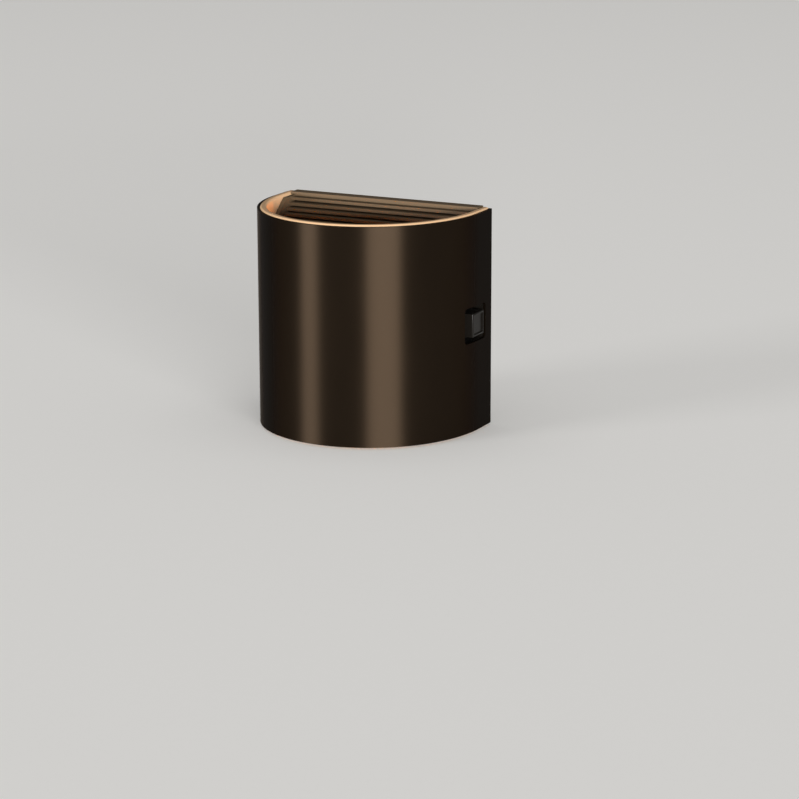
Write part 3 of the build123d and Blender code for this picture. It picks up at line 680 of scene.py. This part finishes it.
class Bench:
    """Shapes pieces with Blender's own operators, one piece at a time."""

    @staticmethod
    def clear() -> None:
        """Leaves edit mode and deselects everything."""
        if bpy.context.mode != "OBJECT":
            bpy.ops.object.mode_set(mode="OBJECT")
        bpy.ops.object.select_all(action="DESELECT")

    @classmethod
    def take(cls, piece: bpy.types.Object) -> None:
        """Makes a piece the only selected and active one.

        Args:
            piece: The piece.
        """
        cls.clear()
        bpy.context.view_layer.objects.active = piece
        piece.select_set(True)

    @classmethod
    @contextmanager
    def editing(cls, piece: bpy.types.Object, faces: Optional[FaceTest] = None) -> Iterator[None]:
        """Opens edit mode with chosen faces selected.

        Args:
            piece: The piece to edit.
            faces: Says of a face whether it is selected; none selects all.

        Yields:
            Nothing; edit mode is left at the end.
        """
        cls.take(piece)
        for part in (piece.data.vertices, piece.data.edges, piece.data.polygons):
            part.foreach_set("select", [faces is None] * len(part))
        if faces is not None:
            for face in piece.data.polygons:
                face.select = bool(faces(face))
        bpy.ops.object.mode_set(mode="EDIT")
        bpy.ops.mesh.select_mode(type="FACE")
        yield
        bpy.ops.object.mode_set(mode="OBJECT")

    @staticmethod
    def face_out() -> None:
        """Turns the edited piece's faces outwards."""
        bpy.ops.mesh.select_all(action="SELECT")
        bpy.ops.mesh.normals_make_consistent(inside=False)

    @classmethod
    def modify(cls, piece: bpy.types.Object, kind: str, **settings: object) -> None:
        """Adds one modifier to a piece and applies it.

        Args:
            piece: The piece.
            kind: The modifier's type.
            settings: The modifier's properties.
        """
        cls.take(piece)
        modifier = piece.modifiers.new(kind.lower(), kind)
        for name, value in settings.items():
            setattr(modifier, name, value)
        bpy.ops.object.modifier_apply(modifier=modifier.name)

    @classmethod
    def settle(cls, piece: bpy.types.Object, name: str) -> bpy.types.Object:
        """Puts a piece's place into its mesh and names it.

        Args:
            piece: The piece.
            name: Its name.

        Returns:
            The piece.
        """
        cls.take(piece)
        bpy.ops.object.transform_apply(location=True, rotation=True, scale=True)
        piece.name = name
        piece.data.name = name
        return piece

    @classmethod
    def block(cls, name: str, low: Place, high: Place) -> bpy.types.Object:
        """Adds a block between two corners, as a start.

        Args:
            name: The piece's name.
            low: The lowest corner, in metres.
            high: The highest corner, in metres.

        Returns:
            The piece.
        """
        cls.clear()
        centre = [(a + b) / 2 for a, b in zip(low, high)]
        bpy.ops.mesh.primitive_cube_add(size=1.0, location=centre)
        piece = bpy.context.object
        piece.scale = [b - a for a, b in zip(low, high)]
        return cls.settle(piece, name)

    @classmethod
    def copy_node(cls, node: str, name: str) -> bpy.types.Object:
        """Copies a CAD node's mesh into a new piece, welded and without needless edges.

        Args:
            node: The CAD node.
            name: The piece's name.

        Returns:
            The piece.
        """
        piece = bpy.data.objects.new(name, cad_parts[node].data.copy())
        bpy.context.scene.collection.objects.link(piece)
        piece.data.name = name
        piece.data.materials.clear()
        cls.take(piece)
        bpy.ops.mesh.customdata_custom_splitnormals_clear()
        with cls.editing(piece):
            bpy.ops.mesh.remove_doubles(threshold=WELD_REACH * MM)
            bpy.ops.mesh.dissolve_limited(angle_limit=FLAT_ANGLE)
        return piece

    @classmethod
    def round_edges(cls, piece: bpy.types.Object, width: float, steps: int = 3) -> None:
        """Rounds a piece's sharp edges.

        Args:
            piece: The piece.
            width: The rounding's width, in millimetres.
            steps: The rounding's segments.
        """
        cls.modify(
            piece,
            "BEVEL",
            width=width * MM,
            segments=steps,
            limit_method="ANGLE",
            angle_limit=EDGE_ANGLE,
            use_clamp_overlap=True,
            miter_outer="MITER_ARC",
        )

    @classmethod
    def shade(cls, piece: bpy.types.Object) -> None:
        """Shades a piece smooth between its sharp edges, with its flat faces kept flat.

        Args:
            piece: The piece.
        """
        cls.take(piece)
        bpy.ops.object.shade_smooth_by_angle(angle=EDGE_ANGLE)
        cls.modify(piece, "WEIGHTED_NORMAL", keep_sharp=True)

    @classmethod
    def cut(cls, piece: bpy.types.Object, cutter: bpy.types.Object) -> None:
        """Takes a cutter's shape out of a piece and deletes the cutter.

        Args:
            piece: The piece.
            cutter: What is taken out.
        """
        cls.modify(piece, "BOOLEAN", operation="DIFFERENCE", solver="EXACT", object=cutter)
        bpy.data.objects.remove(cutter)

    @classmethod
    def repeat(cls, model: bpy.types.Object, name: str, seats: Iterable[Seat]) -> bpy.types.Object:
        """Copies a model to several seats, joins the copies and deletes the model.

        Args:
            model: The piece to copy, shaped at the middle.
            name: The joined piece's name.
            seats: Where and how large each copy is.

        Returns:
            The joined piece.
        """
        copies = []
        for seat in seats:
            copy = model.copy()
            copy.data = model.data.copy()
            copy.location = scaled(seat.place, MM)
            copy.rotation_euler = (math.radians(seat.turn), 0.0, 0.0)
            copy.scale = seat.stretch
            bpy.context.scene.collection.objects.link(copy)
            copies.append(cls.settle(copy, name))
        bpy.data.objects.remove(model)
        cls.take(copies[0])
        for copy in copies:
            copy.select_set(True)
        bpy.ops.object.join()
        return cls.settle(copies[0], name)


def dress(piece: bpy.types.Object, material: bpy.types.Material) -> None:
    """Gives a piece one material and reports it.

    Args:
        piece: A new piece or a CAD node.
        material: Its finish.
    """
    piece.data.materials.clear()
    piece.data.materials.append(material)
    LOG.info("%s in %s, %d faces", piece.name, material.name, len(piece.data.polygons))


def dress_nodes(finish: Finish, *nodes: str) -> None:
    """Gives CAD nodes one finish.

    Args:
        finish: Their finish.
        nodes: Their names.
    """
    material = finish.make()
    for node in nodes:
        dress(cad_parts[node], material)


def refine(
    node: str,
    name: str,
    body: Body,
    width: float,
    material: bpy.types.Material,
    cutters: Sequence[bpy.types.Object] = (),
) -> None:
    """Replaces a CAD node with a dressed copy whose edges are rounded.

    Args:
        node: The CAD node.
        name: The new piece's name.
        body: The CAD body it rides on.
        width: The rounding's width, in millimetres.
        material: Its finish.
        cutters: Shapes taken out of the rounded copy.
    """
    piece = Bench.copy_node(node, name)
    Bench.round_edges(piece, width)
    for cutter in cutters:
        Bench.cut(piece, cutter)
    Bench.shade(piece)
    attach(piece, body.value)
    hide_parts(node)
    dress(piece, material)


# ================================================================ sub-assemblies
@dataclass
class Shells:
    """The bronze sleeve and the cream liner inside it; sizes in millimetres."""

    sleeve_rounding: float = 0.16
    liner_rounding: float = 0.14
    bronze: Finish = CoatedMetal(
        "bronze_coat", (0.0194, 0.0131, 0.0084), (0.30, 0.24, 0.18), (0.10, 0.07, 0.045)
    )
    # The liner's colour is its cream plastic, tinted orange and darkened as painted light from the
    # warm lamp chips.
    cream_with_painted_lamp_light: Finish = MouldedPlastic(
        "cream_painted_lamp_light", (0.50, 0.322, 0.182), roughness=0.7, glow=0.1, shine=0.12
    )

    def build(self) -> None:
        """Builds and dresses both shells."""
        bronze, cream_with_painted_lamp_light = self.bronze.make(), self.cream_with_painted_lamp_light.make()
        sleeve, liner = self.sleeve_rounding, self.liner_rounding
        refine("outer_sleeve", "sleeve", Body.HOUSING, sleeve, bronze)
        refine("inner_liner", "liner", Body.HOUSING, liner, cream_with_painted_lamp_light)


@dataclass
class Louvres:
    """The two stepped stacks of slats and the driver housing; sizes in millimetres."""

    rounding: float = 0.07
    # Painted shade: the slats are the liner's plastic, given a dark tan that stands in for the
    # shadow they lie in.
    painted_shade_slats: Finish = MouldedPlastic(
        "louvre_painted_shade", (0.092, 0.061, 0.033), roughness=0.62, flow=0.14, shine=0.18
    )
    umber: Finish = MouldedPlastic("housing_moulding", (0.150, 0.105, 0.060), roughness=0.52)

    def build(self) -> None:
        """Builds and dresses the slats and the housing."""
        painted_shade_slats = self.painted_shade_slats.make()
        for end in End:
            node, name = f"{end.value}_louvre", f"{end.value}_slats"
            refine(node, name, Body.HOUSING, self.rounding, painted_shade_slats)
        dress_nodes(self.umber, "driver_housing")


@dataclass
class RearPlug:
    """The back plate, its screws, the blades and their clamp; sizes in millimetres."""

    plate_rounding: float = 0.18
    screw_rounding: float = 0.08
    recess_width: float = 23.0
    recess_height: float = 10.0
    recess_level: float = 18.0
    recess_round: float = 1.2
    recess_steps: int = 6
    recess_depth: float = 0.18
    mark_radius: float = 1.4
    mark_depth: float = 0.12
    mark_sides: int = 48
    mark_spots: Sequence[Spot] = (
        (-19.0, 27.2),
        (19.0, 27.2),
        (-19.0, -13.2),
        (19.0, -13.2),
        (0.0, -11.5),
    )
    cutter_height: float = 1.0
    plate: Finish = MouldedPlastic(
        "plate_moulding",
        (0.085, 0.056, 0.029),
        roughness=0.72,
        grain_size=0.22,
        grain_depth=0.010,
        shine=0.12,
    )
    clamp: Finish = MouldedPlastic("clamp_moulding", (0.022, 0.022, 0.025))
    brass: Finish = PlatedMetal(
        "plated_brass", (0.66, 0.60, 0.46), (0.42, 0.31, 0.16), grain=Grain.ALONG_Y
    )
    zinc: Finish = PlatedMetal("zinc_plate", (0.56, 0.56, 0.58), (0.36, 0.34, 0.30))

    def recess_cutter(self) -> bpy.types.Object:
        """Shapes the cutter of the shallow, round-cornered recess above the blades.

        Returns:
            The cutter.
        """
        Bench.clear()
        bpy.ops.mesh.primitive_plane_add(
            size=1.0,
            location=(0.0, -self.recess_depth * MM, self.recess_level * MM),
            rotation=(QUARTER_TURN, 0.0, 0.0),
        )
        cutter = bpy.context.object
        cutter.scale = (self.recess_width * MM, self.recess_height * MM, 1.0)
        Bench.settle(cutter, "recess_cutter")
        outwards = {"value": (0.0, self.cutter_height * MM, 0.0)}
        with Bench.editing(cutter):
            bpy.ops.mesh.bevel(
                offset=self.recess_round * MM, segments=self.recess_steps, affect="VERTICES"
            )
            bpy.ops.mesh.select_all(action="SELECT")
            bpy.ops.mesh.extrude_region_move(TRANSFORM_OT_translate=outwards)
            Bench.face_out()
        return cutter

    def mark_cutter(self, spot: Spot) -> bpy.types.Object:
        """Shapes the cutter of one round ejector mark.

        Args:
            spot: The mark's middle, across and up, in millimetres.

        Returns:
            The cutter.
        """
        Bench.clear()
        across, up = spot
        middle = self.cutter_height / 2 - self.mark_depth
        bpy.ops.mesh.primitive_cylinder_add(
            vertices=self.mark_sides,
            radius=self.mark_radius * MM,
            depth=self.cutter_height * MM,
            location=scaled((across, middle, up), MM),
            rotation=(QUARTER_TURN, 0.0, 0.0),
        )
        return Bench.settle(bpy.context.object, "mark_cutter")

    def build(self) -> None:
        """Builds and dresses the rear pieces."""
        plate, zinc = self.plate.make(), self.zinc.make()
        cutters = [self.recess_cutter(), *map(self.mark_cutter, self.mark_spots)]
        refine(
            "back_plate",
            "rear_plate",
            Body.HOUSING,
            self.plate_rounding,
            plate,
            cutters,
        )
        refine(
            "plate_screws", "rear_screws", Body.HOUSING, self.screw_rounding, zinc
        )
        for node in ("clamp_screw", "board_screws", "lamp_screws", "lamp_nuts"):
            dress(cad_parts[node], zinc)
        dress_nodes(self.brass, "neutral_blade", "live_blade")
        dress_nodes(self.clamp, "blade_clamp")


@dataclass
class Lamps:
    """The carrier with its lamp boards, lamp chips and lenses; sizes in millimetres."""

    chip_width: float = 3.5
    chip_wall: float = 0.5
    phosphor_top: float = 0.05
    phosphor_foot: float = 0.17
    phosphor_rounding: float = 0.05
    phosphor_steps: int = 2
    dish_inset: float = 0.35
    dish_depth: float = 0.04
    lens_rounding: float = 0.12
    carrier: Finish = MouldedPlastic("carrier_moulding", (0.78, 0.76, 0.70))
    mask: Finish = BoardMask("white_mask", (0.70, 0.67, 0.60), (0.80, 0.79, 0.75))
    package: Finish = MouldedPlastic("chip_package", (0.80, 0.76, 0.66), roughness=0.3)
    phosphor: Finish = Phosphor("chip_phosphor", (0.80, 0.50, 0.10), LAMP_LIGHT, strength=900.0)
    # The lenses' emission is a painted glow, not a lamp.
    lens: Finish = FrostedLens("clear_lens", (0.90, 0.87, 0.82), LAMP_LIGHT, painted_glow=1.1)
    tin: Finish = PlatedMetal("tin_plate", (0.70, 0.68, 0.64), (0.50, 0.47, 0.42))

    def chip_face(self, end: End, hand: Hand, material: bpy.types.Material) -> None:
        """Builds the dished phosphor in one lamp chip.

        Args:
            end: The lamp board's end of the light.
            hand: The chip's side of the board.
            material: Its finish.
        """
        low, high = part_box(f"{end.value}_leds")
        middle_x = hand.sign * (high.x - self.chip_width * MM / 2)
        middle_y = (low.y + high.y) / 2
        half_x = (self.chip_width / 2 - self.chip_wall) * MM
        half_y = (high.y - low.y) / 2 - self.chip_wall * MM
        outer = high.z if end is End.UPPER else low.z
        levels = sorted(
            outer - end.sign * depth * MM for depth in (self.phosphor_foot, self.phosphor_top)
        )
        piece = Bench.block(
            f"{end.value}_phosphor_{hand.value}",
            (middle_x - half_x, middle_y - half_y, levels[0]),
            (middle_x + half_x, middle_y + half_y, levels[1]),
        )
        with Bench.editing(piece, lambda face: face.normal.z * end.sign > FACES_THERE):
            bpy.ops.mesh.inset(thickness=self.dish_inset * MM, depth=self.dish_depth * MM)
        Bench.round_edges(piece, self.phosphor_rounding, self.phosphor_steps)
        Bench.shade(piece)
        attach(piece, Body.HOUSING.value)
        dress(piece, material)

    def build(self) -> None:
        """Builds and dresses the lamp pieces."""
        phosphor, lens = self.phosphor.make(), self.lens.make()
        for end in End:
            for hand in Hand:
                self.chip_face(end, hand, phosphor)
        dress_nodes(self.package, "upper_leds", "lower_leds")
        dress_nodes(self.carrier, "lamp_carrier")
        dress_nodes(self.mask, "upper_lamp_board", "lower_lamp_board")
        dress_nodes(self.tin, "lamp_pins", "switch_terminals")
        for end in End:
            node, name = f"{end.value}_lens", f"{end.value}_cover"
            refine(node, name, Body.HOUSING, self.lens_rounding, lens)


@dataclass
class Switch:
    """The slide switch: its knob, shield and working parts; sizes in millimetres."""

    knob_rounding: float = 0.12
    bezel_rounding: float = 0.10
    black: Finish = MouldedPlastic(
        "knob_moulding", (0.006, 0.005, 0.004), roughness=0.3, grain_depth=0.001, shine=0.1
    )
    gloss: Finish = MouldedPlastic(
        "bezel_moulding", (0.006, 0.005, 0.004), roughness=0.18, grain_depth=0.001, shine=0.45
    )
    dull: Finish = MouldedPlastic(
        "shield_moulding", (0.004, 0.0037, 0.0034), roughness=0.42, shine=0.12
    )
    steel: Finish = PlatedMetal("switch_plate", (0.60, 0.60, 0.61), (0.42, 0.40, 0.37))
    bronze: Finish = PlatedMetal("contact_spring", (0.62, 0.40, 0.20), (0.35, 0.22, 0.12))
    phenolic: Finish = MouldedPlastic("phenolic_base", (0.14, 0.06, 0.025))

    def build(self) -> None:
        """Builds and dresses the switch."""
        black, gloss = self.black.make(), self.gloss.make()
        knob, bezel = self.knob_rounding, self.bezel_rounding
        refine("switch_knob", "knob", Body.SLIDE, knob, black)
        refine("switch_bezel", "bezel", Body.HOUSING, bezel, gloss)
        dress(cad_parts["switch_slider"], black)
        dress_nodes(self.dull, "switch_shield")
        dress_nodes(self.steel, "switch_frame")
        dress_nodes(self.bronze, "switch_contact")
        dress_nodes(self.phenolic, "switch_base")


@dataclass
class Driver:
    """The driver board and the parts on it."""

    board: Finish = BoardMask("green_mask", (0.012, 0.085, 0.030), (0.05, 0.17, 0.06))
    film: Finish = MouldedPlastic("film_epoxy", (0.30, 0.018, 0.010), roughness=0.2)
    can: Finish = MouldedPlastic("can_wrap", (0.008, 0.010, 0.018), roughness=0.25)
    fuse: Finish = MouldedPlastic("fuse_enamel", (0.10, 0.26, 0.22), roughness=0.3)
    chip: Finish = MouldedPlastic("chip_epoxy", (0.012, 0.012, 0.013), roughness=0.5)
    glaze: Finish = MouldedPlastic("resistor_glaze", (0.02, 0.02, 0.024), roughness=0.2)
    header: Finish = MouldedPlastic("header_moulding", (0.013, 0.013, 0.013))

    def build(self) -> None:
        """Dresses the board and its parts."""
        dress_nodes(self.board, "driver_board")
        dress_nodes(self.film, "film_capacitor")
        dress_nodes(self.can, "electrolytic_capacitor")
        dress_nodes(self.fuse, "fuse_resistor")
        dress_nodes(self.chip, "bridge_rectifier", "driver_chip")
        dress_nodes(self.glaze, "chip_resistors")
        dress_nodes(self.header, "lamp_header")


@dataclass
class Solder:
    """The solder on the driver board's leads, the lamp pins and the lamp chips.

    Sizes are in millimetres. Each step of a joint is its rise and what its ring is then
    narrowed by.
    """

    joint_radius: float = 0.8
    joint_sides: int = 20
    joint_steps: Sequence[tuple[float, float]] = (
        (0.08, 0.84),
        (0.18, 0.76),
        (0.3, 0.8),
        (0.22, 0.85),
        (0.08, 0.55),
    )
    part_leads: Sequence[Spot] = (
        (-12.2, 15.858),
        (-4.7, 15.858),
        (5.2, 14.908),
        (5.2, 17.408),
        (-16.5, 2.95),
        (-16.5, 10.95),
    )
    pin_ends: Sequence[Spot] = ((-1.27, 4.43), (-1.27, 9.47), (1.27, 4.43), (1.27, 9.47))
    switch_legs: Sequence[Spot] = ((15.5, 3.95), (15.5, 5.95), (15.5, 7.95), (15.5, 9.95))
    blade_side: float = 6.35
    blade_stretch: Place = (1.6, 1.6, 2.3)
    bed_radius: float = 1.0
    bed_sides: int = 24
    bed_rings: int = 12
    pin_side: float = 1.27
    pin_bed: Place = (0.72, 1.2, 0.44)
    pin_bed_back: float = 18.5
    chip_side: float = 4.0
    chip_bed: Place = (0.42, 1.0, 0.3)
    half_turn: float = 180.0
    tin: Finish = PlatedMetal("solder", (0.62, 0.61, 0.58), (0.45, 0.43, 0.40), roughness=0.2)

    def joint(self) -> bpy.types.Object:
        """Shapes one hollow-sided cone of solder, which points out of the board at the middle.

        Returns:
            The cone.
        """
        Bench.clear()
        bpy.ops.mesh.primitive_circle_add(
            vertices=self.joint_sides,
            radius=self.joint_radius * MM,
            fill_type="NGON",
            location=(0.0, 0.0, 0.0),
            rotation=(QUARTER_TURN, 0.0, 0.0),
        )
        piece = Bench.settle(bpy.context.object, "joint")
        depth = 0.0
        with Bench.editing(piece):
            for rise, narrowing in self.joint_steps:
                outwards = (0.0, -rise * MM, 0.0)
                depth -= rise * MM
                bpy.ops.mesh.extrude_region_move(TRANSFORM_OT_translate={"value": outwards})
                bpy.ops.transform.resize(
                    value=(narrowing, 1.0, narrowing), center_override=(0.0, depth, 0.0)
                )
            bpy.ops.mesh.select_all(action="SELECT")
            bpy.ops.mesh.fill_holes(sides=0)
            Bench.face_out()
        return piece

    def bed(self) -> bpy.types.Object:
        """Shapes a low, round mound of solder on a board at the middle.

        Returns:
            The mound.
        """
        Bench.clear()
        bpy.ops.mesh.primitive_uv_sphere_add(
            segments=self.bed_sides, ring_count=self.bed_rings, radius=self.bed_radius * MM
        )
        piece = Bench.settle(bpy.context.object, "bed")
        with Bench.editing(piece):
            bpy.ops.mesh.bisect(
                plane_co=(0.0, 0.0, 0.0), plane_no=(0.0, 0.0, 1.0), clear_inner=True, use_fill=True
            )
        return piece

    def driver_seats(self) -> list[Seat]:
        """Places the joints of the driver board.

        Returns:
            A seat for each lead, pin, switch leg and blade.
        """
        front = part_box("driver_board")[0].y / MM
        spots = (*self.part_leads, *self.pin_ends, *self.switch_legs)
        seats = [Seat((across, front, up)) for across, up in spots]
        seats += [
            Seat((hand.sign * self.blade_side, front, 0.0), self.blade_stretch) for hand in Hand
        ]
        return seats

    def lamp_seats(self, end: End) -> list[Seat]:
        """Places the mounds of one lamp board.

        Args:
            end: The board's end of the light.

        Returns:
            A seat for each pin and for both ends of each chip.
        """
        low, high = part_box("upper_leds")
        half = high.x / MM - self.chip_side
        depth = (low.y + high.y) / 2 / MM
        bottom, top = (corner.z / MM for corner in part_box(f"{end.value}_lamp_board"))
        level, turn = (top, 0.0) if end is End.UPPER else (bottom, self.half_turn)
        seats = []
        for hand in Hand:
            place = (hand.sign * self.pin_side, -self.pin_bed_back, level)
            seats.append(Seat(place, self.pin_bed, turn))
            for chip_end in (-half, half):
                place = (hand.sign * self.chip_side + chip_end, depth, level)
                seats.append(Seat(place, self.chip_bed, turn))
        return seats

    def build(self) -> None:
        """Builds and dresses the solder on all three boards."""
        tin = self.tin.make()
        beds = [seat for end in End for seat in self.lamp_seats(end)]
        pieces = (
            Bench.repeat(self.joint(), "driver_joints", self.driver_seats()),
            Bench.repeat(self.bed(), "lamp_joints", beds),
        )
        for piece in pieces:
            Bench.shade(piece)
            dress(piece, tin)
            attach(piece, Body.HOUSING.value)


# ================================================================ studio
@dataclass(frozen=True)
class Softbox:
    """A flat lamp that faces the light; angles in degrees and sizes in metres."""

    name: str
    azimuth: float
    elevation: float
    distance: float
    width: float
    height: float
    radiance: float

    def place(self, target: Vector) -> None:
        """Adds the lamp, which no camera sees.

        Args:
            target: The point it faces.
        """
        turn, rise = math.radians(self.azimuth), math.radians(self.elevation)
        flat = math.cos(rise)
        away = Vector((math.sin(turn) * flat, -math.cos(turn) * flat, math.sin(rise)))
        lamp = bpy.data.lights.new(self.name, "AREA")
        lamp.shape = "RECTANGLE"
        lamp.size, lamp.size_y = self.width, self.height
        lamp.energy = self.radiance * math.pi * self.width * self.height
        holder = bpy.data.objects.new(self.name, lamp)
        holder.location = target + away * self.distance
        holder.rotation_euler = away.to_track_quat("Z", "Y").to_euler()
        holder.visible_camera = False
        bpy.context.scene.collection.objects.link(holder)


@dataclass
class Studio:
    """The floor, the lamps, the world and the camera.

    Sizes are in metres, but the gap under the light and the lens are in millimetres.
    """

    floor_half: float = 9.0
    floor_gap: float = 0.02
    paper: Finish = Paper("floor_paper", (0.74, 0.73, 0.71), lift=0.22)
    world_colour: Colour = (0.86, 0.86, 0.85)
    world_light: float = 0.25
    camera_place: Place = (0.2532, -0.5019, 0.1315)
    camera_azimuth: float = 26.55
    camera_fall: float = 14.49
    camera_roll: float = -0.14
    camera_lens: float = 121.8
    camera_near: float = 0.01
    camera_far: float = 50.0
    lamps: Sequence[Softbox] = field(
        default_factory=lambda: (
            Softbox("left_strip", -36.5, 4.2, 8.0, width=2.5, height=0.9, radiance=82.0),
            Softbox("right_strip", 40.5, 4.2, 8.0, width=4.8, height=0.9, radiance=97.0),
            Softbox("overhead", 10.0, 78.0, 2.4, width=2.8, height=2.8, radiance=0.65),
        )
    )

    def build_floor(self) -> None:
        """Adds the pale floor just under the light."""
        Bench.clear()
        level = CAD_BOX[0].z - self.floor_gap * MM
        bpy.ops.mesh.primitive_plane_add(size=2 * self.floor_half, location=(0, 0, level))
        floor = Bench.settle(bpy.context.object, "floor")
        dress(floor, self.paper.make())

    def build_world(self) -> None:
        """Sets an even, pale surrounding."""
        world = bpy.data.worlds.new("studio_air")
        bpy.context.scene.world = world
        world.use_nodes = True
        tree = world.node_tree
        tree.nodes.clear()
        air = tree.nodes.new("ShaderNodeBackground")
        air.inputs["Color"].default_value = (*self.world_colour, 1.0)
        air.inputs["Strength"].default_value = self.world_light
        output = tree.nodes.new("ShaderNodeOutputWorld")
        tree.links.new(air.outputs[0], output.inputs[0])

    def build_camera(self) -> None:
        """Sets the camera that looks down on the light from its right."""
        scene = bpy.context.scene
        lens = bpy.data.cameras.new("camera")
        lens.lens = self.camera_lens
        lens.clip_start, lens.clip_end = self.camera_near, self.camera_far
        camera = bpy.data.objects.new("camera", lens)
        camera.location = self.camera_place
        fall, turn = math.radians(self.camera_fall), math.radians(self.camera_azimuth)
        tilt = Euler((QUARTER_TURN - fall, 0, turn))
        roll = Euler((0, 0, math.radians(self.camera_roll)))
        camera.rotation_euler = (tilt.to_matrix() @ roll.to_matrix()).to_euler()
        scene.collection.objects.link(camera)
        scene.camera = camera
        scene.view_settings.view_transform = "Standard"

    def build(self) -> None:
        """Sets up the whole studio."""
        self.build_floor()
        self.build_world()
        self.build_camera()
        target = (CAD_BOX[0] + CAD_BOX[1]) / 2
        for lamp in self.lamps:
            lamp.place(target)


def main() -> None:
    """Builds every sub-assembly, then the studio."""
    logging.basicConfig(level=logging.INFO, format="%(name)s: %(message)s")
    parts = (Shells(), Louvres(), RearPlug(), Lamps(), Switch(), Driver(), Solder(), Studio())
    for part in parts:
        part.build()
        LOG.info("built %s", type(part).__name__)


if __name__ == "__main__":
    main()
